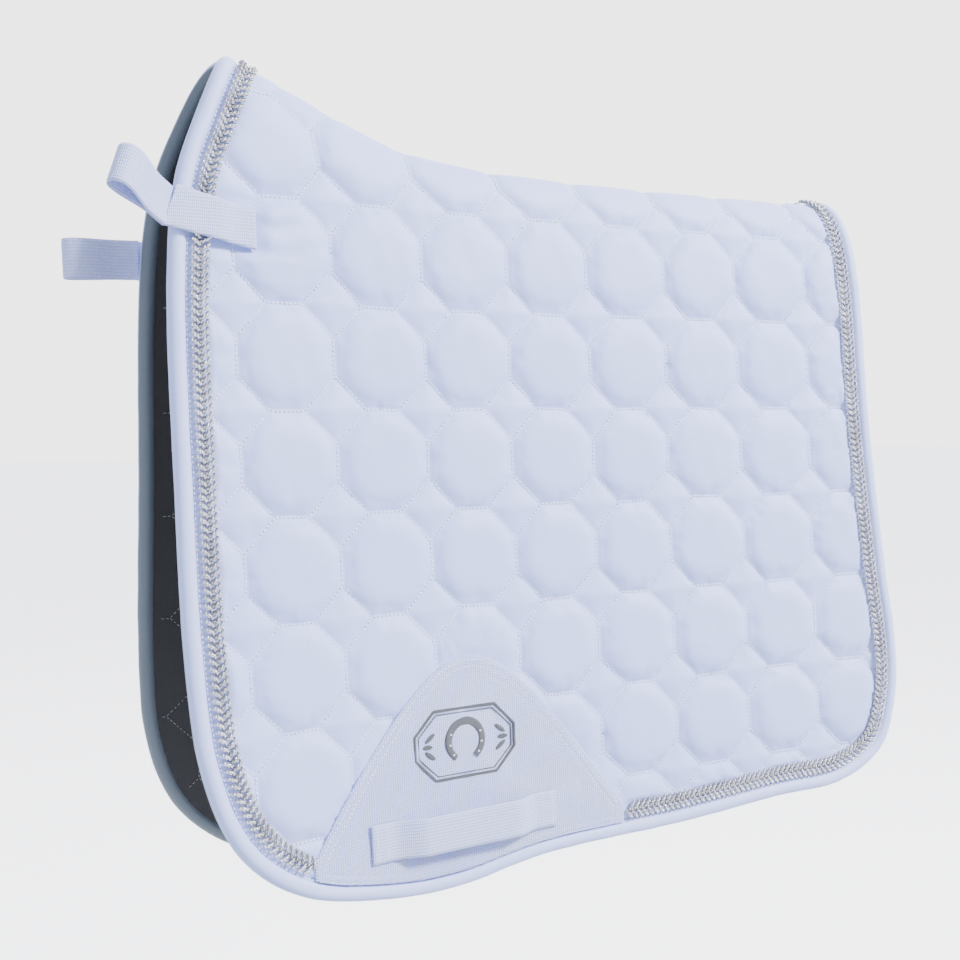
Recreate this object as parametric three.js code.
// Dressage saddle pad: two quilted flaps hanging from a curved spine seam, each edged with a
// cord-filled binding and two lengths of plaited braid, with a girth patch, a girth keeper, an
// embroidered emblem and a webbing strap loop for the saddle's D-ring.
//
// Units are millimetres. +X runs from withers to tail, +Z is up, and the horse's near (left) side
// is -Y. The origin is on the underside of the ridge, half way along the pad.

import * as THREE from 'three';

// ---------------------------------------------------------------- driving dimensions

const COVER = 1.0;            // quilted outer fabric
const WADDING = 7.4;          // filling between the two fabrics
const LINING = 1.0;           // inner fabric
const GAP = 0.3;              // clearance between layers
const SEAM_ROOM = 1.2;        // clearance between the layers' edge and the binding
const THICKNESS = COVER + WADDING + LINING + 2 * GAP;

const LEAN = THREE.MathUtils.degToRad(2.7);   // each flap's outward lean where it hangs straight
const LEVEL = THICKNESS - 0.5;                // height at which the level drop v is zero
// Rows of the quilted layers, as distances from the ridge.
const ROW_DROPS = [0, 7, 14, 22, 33, 50, 80, 130, 200, 290, 380, 460, 525, 575, 612, 640];
const SECTION_STEP = 2.5;                     // step along a section, ridge to hem
const SECTION_STEPS = 250;

const WITHERS_RISE = 60;                      // how far the withers stand above the back
const SEAM_GAP = 0.4;                         // each half stops this short of the centre plane

const EDGE = 12.4;                            // width of the binding
const CHANNEL_WALL = 1.2;                     // fabric around the piping cord
const BRAID = { inset: 13.2, width: 12.4, low: 0.6, high: 2.7 };
const PATCH = { low: 0.5, high: 1.6, centre: -86, top: 349, slope: 1.5, round: 60, from: -213, to: 45 };
const EMBLEM = { x: -91, v: 409, length: 84, height: 50, cut: 16, low: 2.0, high: 2.8 };
const KEEPER = { from: -170, to: -17, v: 467, width: 26, sewn: 16, low: 2.0, thick: 1.6, lift: 8.8 };
const STRAP = { width: 26, ply: 1.5, length: 46, depth: 7.5, sewn: 14 };
const TAPE = { rows: 3, gap: 0.7, thick: 1.0 };

// Outline of one flap laid flat: x along the spine, v the drop below the level line.
// It runs from the ridge at the withers, down the front, along the hem and up the rear.
const OUTLINE = [
  [-243, -73], [-269, -18], [-287, 33], [-294, 106], [-294, 225], [-293, 330], [-286, 402],
  [-263, 456], [-218, 491], [-155, 507], [-95, 510], [-20, 501], [100, 498], [195, 491],
  [261, 487], [306, 463], [323, 418], [324, 370], [315, 300], [304, 190], [299, 85], [295, 22],
  [293, -28],
];
const FRONT_CORNER = 7;       // outline points where the front and rear edges meet the hem
const REAR_CORNER = 15;

// ---------------------------------------------------------------- the pad's surface

// Height of the ridge: the withers' rise at the front and a shallow dip along the back.
function ridgeHeight(x) {
  const withers = WITHERS_RISE / (1 + Math.exp((x + 178) / 36));
  const back = 3 * ((x - 80) / 230) ** 2;
  return THICKNESS - 0.8 + withers + back;
}

// Angle from vertical of the outer surface, s along it from the ridge: a tight arch over the
// spine, a slower bend below it, then a straight hanging flap.
function leanAngle(x, s) {
  const spread = x < -103 ? 1.2e-4 : 1.5e-4;
  const arch = 15.5 + spread * (x + 103) ** 2;
  const bend = 0.8 * Math.exp(-((s / arch) ** 1.5)) + 0.2 * Math.exp(-s / 35);
  return LEAN + (Math.PI / 2 - LEAN) * bend;
}

// One cross-section as half-widths and heights at every step, and s where v is zero.
const sections = new Map();
function section(x) {
  const key = x.toFixed(3);
  if (!sections.has(key)) {
    const y = [0];
    const z = [ridgeHeight(x)];
    for (let k = 0; k < SECTION_STEPS; k += 1) {
      const angle = leanAngle(x, (k + 0.5) * SECTION_STEP);
      y.push(y[k] + Math.sin(angle) * SECTION_STEP);
      z.push(z[k] - Math.cos(angle) * SECTION_STEP);
    }
    const endDrop = (LEVEL - z[SECTION_STEPS]) / Math.cos(LEAN);
    sections.set(key, { y, z, zero: SECTION_STEPS * SECTION_STEP - endDrop });
  }
  return sections.get(key);
}

// The lower front corner turns a little outwards.
function flare(x, z) {
  const drop = THREE.MathUtils.clamp((LEVEL - z) / 400, 0, 2);
  return 16.5 * drop ** 3 * Math.exp(-(x + 292) / 90);
}

function surfacePoint(x, s) {
  const { y, z } = section(x);
  const k = Math.min(Math.floor(s / SECTION_STEP), SECTION_STEPS - 1);
  const f = s / SECTION_STEP - k;
  const height = THREE.MathUtils.lerp(z[k], z[k + 1], f);
  const half = THREE.MathUtils.lerp(y[k], y[k + 1], f);
  return new THREE.Vector3(x, half + flare(x, height), height);
}

// A point at drop v, raised above the outer surface by lift, on side -1 (left) or +1 (right).
function padPoint(x, v, lift, side) {
  const s = Math.max(v + section(x).zero, SEAM_GAP);
  const point = surfacePoint(x, s);
  const alongX = surfacePoint(x + 2, s).sub(surfacePoint(x - 2, s));
  const down = surfacePoint(x, s + 2).sub(surfacePoint(x, Math.max(s - 2, 0)));
  const normal = new THREE.Vector3().crossVectors(alongX, down).normalize();
  point.addScaledVector(normal, lift);
  point.y = side * Math.max(point.y, SEAM_GAP);
  return point;
}

// ---------------------------------------------------------------- the outline and its insets

const STEPS = 10;             // outline samples between two of its points
const LONGEST_SAMPLE = 8;     // most outline samples in one length of a tube
const DEEPEST_SAG = 0.45;     // most that such a length may cut its curve short
const outline = new THREE.SplineCurve(OUTLINE.map(([x, v]) => new THREE.Vector2(x, v)))
  .getPoints(STEPS * (OUTLINE.length - 1));

// The outline moved inwards by an inset, at sample k.
function insetPoint(k, inset) {
  const before = outline[Math.max(k - 1, 0)];
  const after = outline[Math.min(k + 1, outline.length - 1)];
  const along = after.clone().sub(before).normalize();
  return new THREE.Vector2(outline[k].x + along.y * inset, outline[k].y - along.x * inset);
}

// Points spread evenly by length between two samples of the outline, at fractions 0 to 1.
function spread(first, last, inset, fractions) {
  const points = [];
  const direction = Math.sign(last - first);
  for (let k = first; k !== last + direction; k += direction) points.push(insetPoint(k, inset));
  const length = [0];
  for (let k = 1; k < points.length; k += 1) {
    length.push(length[k - 1] + points[k].distanceTo(points[k - 1]));
  }
  return fractions.map((fraction) => {
    const goal = fraction * length[length.length - 1];
    const k = Math.max(length.findIndex((value) => value >= goal - 1e-9), 1);
    const f = (goal - length[k - 1]) / (length[k] - length[k - 1]);
    return points[k - 1].clone().lerp(points[k], f);
  });
}

const steps = (count, power = 1) => Array.from({ length: count + 1 }, (_, i) => (i / count) ** power);

// ---------------------------------------------------------------- closed solids from grids

// A geometry from rows of points and triangles, with its faces turned out on either side.
function closedGeometry(points, triangles, side) {
  const geometry = new THREE.BufferGeometry();
  const flat = points.flatMap((point) => [point.x, point.y, point.z]);
  const index = side < 0 ? triangles.flat() : triangles.flatMap(([a, b, c]) => [a, c, b]);
  geometry.setAttribute('position', new THREE.Float32BufferAttribute(flat, 3));
  geometry.setIndex(index);
  geometry.computeVertexNormals();
  return geometry;
}

// A slab over a grid of flat points: grid[i][j] has x, v and the heights of its two faces.
function slab(grid, side) {
  const columns = grid.length;
  const rows = grid[0].length;
  const cells = grid.flat();
  const points = [
    ...cells.map((cell) => padPoint(cell.x, cell.v, cell.high, side)),
    ...cells.map((cell) => padPoint(cell.x, cell.v, cell.low, side)),
  ];
  const top = (i, j) => i * rows + j;
  const bottom = (i, j) => columns * rows + i * rows + j;
  const triangles = [];
  const quad = (a, b, c, d) => triangles.push([a, b, c], [a, c, d]);
  for (let i = 0; i < columns - 1; i += 1) {
    for (let j = 0; j < rows - 1; j += 1) {
      quad(top(i, j), top(i, j + 1), top(i + 1, j + 1), top(i + 1, j));
      quad(bottom(i, j), bottom(i + 1, j), bottom(i + 1, j + 1), bottom(i, j + 1));
    }
    quad(top(i, 0), top(i + 1, 0), bottom(i + 1, 0), bottom(i, 0));
    quad(top(i + 1, rows - 1), top(i, rows - 1), bottom(i, rows - 1), bottom(i + 1, rows - 1));
  }
  for (let j = 0; j < rows - 1; j += 1) {
    quad(top(0, j + 1), top(0, j), bottom(0, j), bottom(0, j + 1));
    quad(top(columns - 1, j), top(columns - 1, j + 1), bottom(columns - 1, j + 1),
      bottom(columns - 1, j));
  }
  return closedGeometry(points, triangles, side);
}

// Samples from first to last, closer together where the edge bends.
function edgeSamples(first, last) {
  const at = (k) => padPoint(outline[k].x, outline[k].y, 0, 1);
  const sag = (a, b) => {
    const middle = at(Math.round((a + b) / 2));
    const chord = new THREE.Line3(at(a), at(b));
    return chord.closestPointToPoint(middle, true, new THREE.Vector3()).distanceTo(middle);
  };
  const picked = [first];
  while (picked[picked.length - 1] < last) {
    const k = picked[picked.length - 1];
    let next = k + 1;
    while (next < last && next - k < LONGEST_SAMPLE && sag(k, next + 1) < DEEPEST_SAG) next += 1;
    picked.push(next);
  }
  return picked;
}

// A tube along the outline from rings of [inset, lift] pairs, hollow where an inner ring is given.
function edgeTube(samples, outerRing, innerRing, side) {
  const count = outerRing.length;
  const ringPoints = (ring) => samples.flatMap((k) => ring.map(([inset, lift]) => {
    const at = insetPoint(k, inset);
    return padPoint(at.x, at.y, lift, side);
  }));
  const points = ringPoints(outerRing);
  const triangles = [];
  const quad = (a, b, c, d) => triangles.push([a, b, c], [a, c, d]);
  const last = samples.length - 1;
  const next = (j) => (j + 1) % count;
  const inner = points.length;
  if (innerRing) points.push(...ringPoints(innerRing));
  for (let i = 0; i < last; i += 1) {
    for (let j = 0; j < count; j += 1) {
      const here = i * count;
      const there = here + count;
      quad(here + j, there + j, there + next(j), here + next(j));
      if (innerRing) {
        quad(inner + here + j, inner + here + next(j), inner + there + next(j), inner + there + j);
      }
    }
  }
  const end = last * count;
  for (let j = 0; j < count; j += 1) {
    if (innerRing) {
      quad(j, next(j), inner + next(j), inner + j);
      quad(end + next(j), end + j, inner + end + j, inner + end + next(j));
    } else if (j > 0 && j < count - 1) {
      triangles.push([0, j, j + 1], [end, end + j + 1, end + j]);
    }
  }
  return closedGeometry(points, triangles, -side);
}

// ---------------------------------------------------------------- the pieces of one flap

// The quilted layers share one grid that follows the outline, finer over the ridge.
// Columns stand closer together towards both ends.
const acrossFractions = steps(14).map((f) => (f + 0.5 - 0.5 * Math.cos(f * Math.PI)) / 2);
const downFractions = ROW_DROPS.map((drop) => drop / ROW_DROPS[ROW_DROPS.length - 1]);
const quiltedGrid = (() => {
  const inset = EDGE + SEAM_ROOM;
  const frontCorner = FRONT_CORNER * STEPS;
  const rearCorner = REAR_CORNER * STEPS;
  const front = spread(0, frontCorner, inset, downFractions);
  const rear = spread(outline.length - 1, rearCorner, inset, downFractions);
  const hem = spread(frontCorner, rearCorner, inset, acrossFractions);
  const ridge = acrossFractions.map((a) => {
    const x = THREE.MathUtils.lerp(front[0].x, rear[0].x, a);
    return new THREE.Vector2(x, -section(x).zero);
  });
  front[0].y = ridge[0].y;
  rear[0].y = ridge[ridge.length - 1].y;
  return acrossFractions.map((a, i) => downFractions.map((b, j) => {
    const sides = front[j].clone().lerp(rear[j], a);
    const ends = ridge[i].clone().lerp(hem[i], b);
    const top = front[0].clone().lerp(rear[0], a);
    const bottom = hem[0].clone().lerp(hem[hem.length - 1], a);
    return sides.add(ends).sub(top.lerp(bottom, b));
  }));
})();

function layer(low, high, side) {
  return slab(quiltedGrid.map((row) => row.map(({ x, y }) => ({ x, v: y, low, high }))), side);
}

// A six-sided ring around the middle of the binding.
function edgeRing(radius) {
  return Array.from({ length: 6 }, (_, j) => {
    const angle = (j / 6) * Math.PI * 2;
    return [EDGE / 2 + radius * Math.cos(angle), -THICKNESS / 2 + radius * Math.sin(angle)];
  });
}
const wholeEdge = edgeSamples(0, outline.length - 1);

function binding(side) {
  const outer = EDGE / 2;
  return edgeTube(wholeEdge, edgeRing(outer), edgeRing(outer - CHANNEL_WALL), side);
}

function pipingCord(side) {
  return edgeTube(wholeEdge, edgeRing(EDGE / 2 - CHANNEL_WALL - 0.5), null, side);
}

// Braid between two outline samples, square in section.
function braid(first, last, side) {
  const inner = BRAID.inset + BRAID.width;
  const ring = [
    [BRAID.inset, BRAID.low], [inner, BRAID.low], [inner, BRAID.high], [BRAID.inset, BRAID.high],
  ];
  return edgeTube(edgeSamples(first, last), ring, null, side);
}
const frontBraidEnd = 78;     // outline samples where the braids stop at the girth patch
const rearBraidStart = 116;

// Drop of the outline's hem at x, moved in by an inset.
function hemDrop(x, inset) {
  const samples = outline.map((_, k) => insetPoint(k, inset)).slice(60, 160);
  const k = samples.findIndex((point) => point.x >= x);
  const f = (x - samples[k - 1].x) / (samples[k].x - samples[k - 1].x);
  return THREE.MathUtils.lerp(samples[k - 1].y, samples[k].y, f);
}

// A slab over columns {x, v0, v1, low, high, slant}, split evenly down each column. The foot of a
// column stands slant nearer the front than its head.
function strip(columns, rows, side) {
  return slab(columns.map(({ x, v0, v1, low, high, slant = 0 }) => steps(rows).map((f) => (
    { x: x - slant * (f - 0.5), v: THREE.MathUtils.lerp(v0, v1, f), low, high }
  ))), side);
}

// The girth patch: a triangle with a rounded top, its lower edge along the binding.
function girthPatch(side) {
  const columns = steps(14).map((f) => {
    const x = THREE.MathUtils.lerp(PATCH.from, PATCH.to, f);
    const out = Math.hypot(x - PATCH.centre, PATCH.round) - PATCH.round;
    const v1 = hemDrop(x, BRAID.inset);
    const v0 = Math.min(PATCH.top + PATCH.slope * out, v1 - 2);
    return { x, v0, v1, low: PATCH.low, high: PATCH.high };
  });
  return strip(columns, 3, side);
}

// The embroidered emblem's field: an elongated octagon.
function emblem(side) {
  const { x, v, length, height, cut, low, high } = EMBLEM;
  const half = length / 2;
  const columns = [-half, cut - half, half - cut, half].map((dx) => {
    const reach = Math.abs(dx) < half ? height / 2 : height / 2 - cut;
    return { x: x + dx, v0: v - reach, v1: v + reach, low, high };
  });
  return strip(columns, 1, side);
}

// Webbing sewn down at both ends and lifted between them, for the girth to pass behind.
function girthKeeper(side) {
  const { from, to, v, width, sewn, low, thick, lift } = KEEPER;
  const middle = (from + to) / 2;
  const rise = 24;
  const columns = [
    [from, 0], [from + sewn, 0], [from + sewn + rise / 2, 0.6], [from + sewn + rise, 1], [middle, 1],
    [to - sewn - rise, 1], [to - sewn - rise / 2, 0.6], [to - sewn, 0], [to, 0],
  ];
  return strip(columns.map(([x, amount]) => {
    const base = low + amount * lift;
    return { x, v0: v - width / 2, v1: v + width / 2, low: base, high: base + thick };
  }), 1, side);
}

// The doubled webbing of the D-ring strap where it is sewn down, over the braid and the binding.
// It ends at the front edge, its middle at drop v.
function strapAnchor(v, slant, side) {
  const columns = [
    [-293, 0, 1.8, 1], [-286, 1.5, 3.0, 0.8], [-275, 4, 3.0, 0.5], [-259, 7, 3.0, 0.2],
    [-250, 9, 0.3, 0], [-235, 11.5, 0.3, 0],
  ];
  return strip(columns.map(([x, fall, low, turn]) => ({
    x,
    v0: v + fall - STRAP.width / 2,
    v1: v + fall + STRAP.width / 2,
    low,
    high: low + 2,
    slant: slant * turn,
  })), 1, side);
}

// Side view of the strap's free loop or, from a later start and thinner, of the slot inside it.
function teardrop(path, start, thickness, half) {
  const reach = STRAP.length - STRAP.depth;
  const swell = start + 8;
  path.moveTo(start, -thickness);
  path.bezierCurveTo(swell, -thickness, reach - 14, -half, reach, -half);
  path.absarc(reach, 0, half, -Math.PI / 2, Math.PI / 2, false);
  path.bezierCurveTo(reach - 14, half, swell, thickness, start, thickness);
  return path;
}

// The free loop: one ply of webbing folded back on itself, open across its width.
function strapLoop(forward, down, base) {
  const { width, ply, depth, sewn } = STRAP;
  const outer = new THREE.Shape();
  outer.moveTo(0, ply);
  outer.lineTo(0, -ply);
  outer.lineTo(sewn, -ply);
  teardrop(outer, sewn, ply, depth).closePath();
  outer.holes.push(teardrop(new THREE.Path(), sewn + 2, 0, depth - ply));
  const geometry = new THREE.ExtrudeGeometry(outer, {
    depth: width, bevelEnabled: false, curveSegments: 5,
  });
  geometry.translate(0, 0, -width / 2);
  const across = new THREE.Vector3().crossVectors(down, forward);
  const mesh = new THREE.Mesh(geometry);
  mesh.quaternion.setFromRotationMatrix(new THREE.Matrix4().makeBasis(forward, across, down));
  mesh.position.copy(base);
  return mesh;
}

// ---------------------------------------------------------------- the spine tape

// Tape under the ridge that covers the seam between the two halves, following the lining.
function spineTape() {
  const across = [];
  for (let j = -TAPE.rows; j <= TAPE.rows; j += 1) across.push(j);
  const rows = across.length;
  const count = quiltedGrid.length;
  const high = -THICKNESS - TAPE.gap;
  const points = [high, high - TAPE.thick].flatMap((lift) => quiltedGrid.flatMap((column) => (
    across.map((j) => {
      const { x, y } = column[Math.abs(j)];
      const at = padPoint(x, y, lift, j < 0 ? -1 : 1);
      return j === 0 ? at.setY(0) : at;
    })
  )));
  const triangles = [];
  const quad = (a, b, c, d) => triangles.push([a, b, c], [a, c, d]);
  const top = (i, j) => i * rows + j;
  const low = (i, j) => (count + i) * rows + j;
  for (let i = 0; i < count - 1; i += 1) {
    for (let j = 0; j < rows - 1; j += 1) {
      quad(top(i, j), top(i + 1, j), top(i + 1, j + 1), top(i, j + 1));
      quad(low(i, j), low(i, j + 1), low(i + 1, j + 1), low(i + 1, j));
    }
    quad(top(i + 1, 0), top(i, 0), low(i, 0), low(i + 1, 0));
    quad(top(i, rows - 1), top(i + 1, rows - 1), low(i + 1, rows - 1), low(i, rows - 1));
  }
  for (let j = 0; j < rows - 1; j += 1) {
    quad(top(0, j), top(0, j + 1), low(0, j + 1), low(0, j));
    quad(top(count - 1, j + 1), top(count - 1, j), low(count - 1, j), low(count - 1, j + 1));
  }
  return closedGeometry(points, triangles, -1);
}

// ---------------------------------------------------------------- materials and assembly

const finishes = {
  satin: { color: 0xd3d9ec, roughness: 0.55, metalness: 0 },
  wadding: { color: 0xf2f1ea, roughness: 0.95, metalness: 0 },
  lining: { color: 0x3d3d3f, roughness: 0.9, metalness: 0 },
  binding: { color: 0xcfd7ec, roughness: 0.5, metalness: 0 },
  cord: { color: 0xe9e6da, roughness: 0.9, metalness: 0 },
  braid: { color: 0xa9a59d, roughness: 0.35, metalness: 0.8 },
  patch: { color: 0xcdd1ea, roughness: 0.8, metalness: 0 },
  webbing: { color: 0xdcdef2, roughness: 0.7, metalness: 0 },
  thread: { color: 0x8c8e96, roughness: 0.6, metalness: 0.1 },
};

const saddlePad = new THREE.Group();

function add(parent, name, shape, finish) {
  const mesh = shape.isMesh ? shape : new THREE.Mesh(shape);
  mesh.name = name;
  mesh.material = new THREE.MeshStandardMaterial(finishes[finish]);
  parent.add(mesh);
}

add(saddlePad, 'spine_tape', spineTape(), 'webbing');

// Each strap leaves the front edge at its own drop v and in its own direction: the left loop is
// bent up and outwards, the right one lies level. Slant turns the sewn end to meet the loop.
const straps = {
  left: { v: 47, forward: [-0.74, -0.45, 0.4], slant: 11 },
  right: { v: 74, forward: [-1, 0, -0.03], slant: 0 },
};

for (const [name, side] of [['left', -1], ['right', 1]]) {
  const flap = new THREE.Group();
  const coverLow = -COVER;
  const waddingHigh = coverLow - GAP;
  const waddingLow = waddingHigh - WADDING;
  add(flap, `${name}_outer_cover`, layer(coverLow, 0, side), 'satin');
  add(flap, `${name}_wadding`, layer(waddingLow, waddingHigh, side), 'wadding');
  add(flap, `${name}_lining`, layer(-THICKNESS, waddingLow - GAP, side), 'lining');
  add(flap, `${name}_binding`, binding(side), 'binding');
  add(flap, `${name}_piping_cord`, pipingCord(side), 'cord');
  add(flap, `${name}_front_braid`, braid(0, frontBraidEnd, side), 'braid');
  add(flap, `${name}_rear_braid`, braid(rearBraidStart, outline.length - 1, side), 'braid');
  add(flap, `${name}_girth_patch`, girthPatch(side), 'patch');
  add(flap, `${name}_emblem`, emblem(side), 'thread');
  add(flap, `${name}_girth_keeper`, girthKeeper(side), 'webbing');
  const { v, forward, slant } = straps[name];
  add(flap, `${name}_strap_anchor`, strapAnchor(v, slant, side), 'webbing');
  const ahead = new THREE.Vector3(...forward).normalize();
  const down = new THREE.Vector3(0, 0, -1).addScaledVector(ahead, ahead.z).normalize();
  const base = padPoint(-295.6, v, 2.8, side);
  add(flap, `${name}_strap_loop`, strapLoop(ahead, down, base), 'webbing');
  saddlePad.add(flap);
}

export default saddlePad;
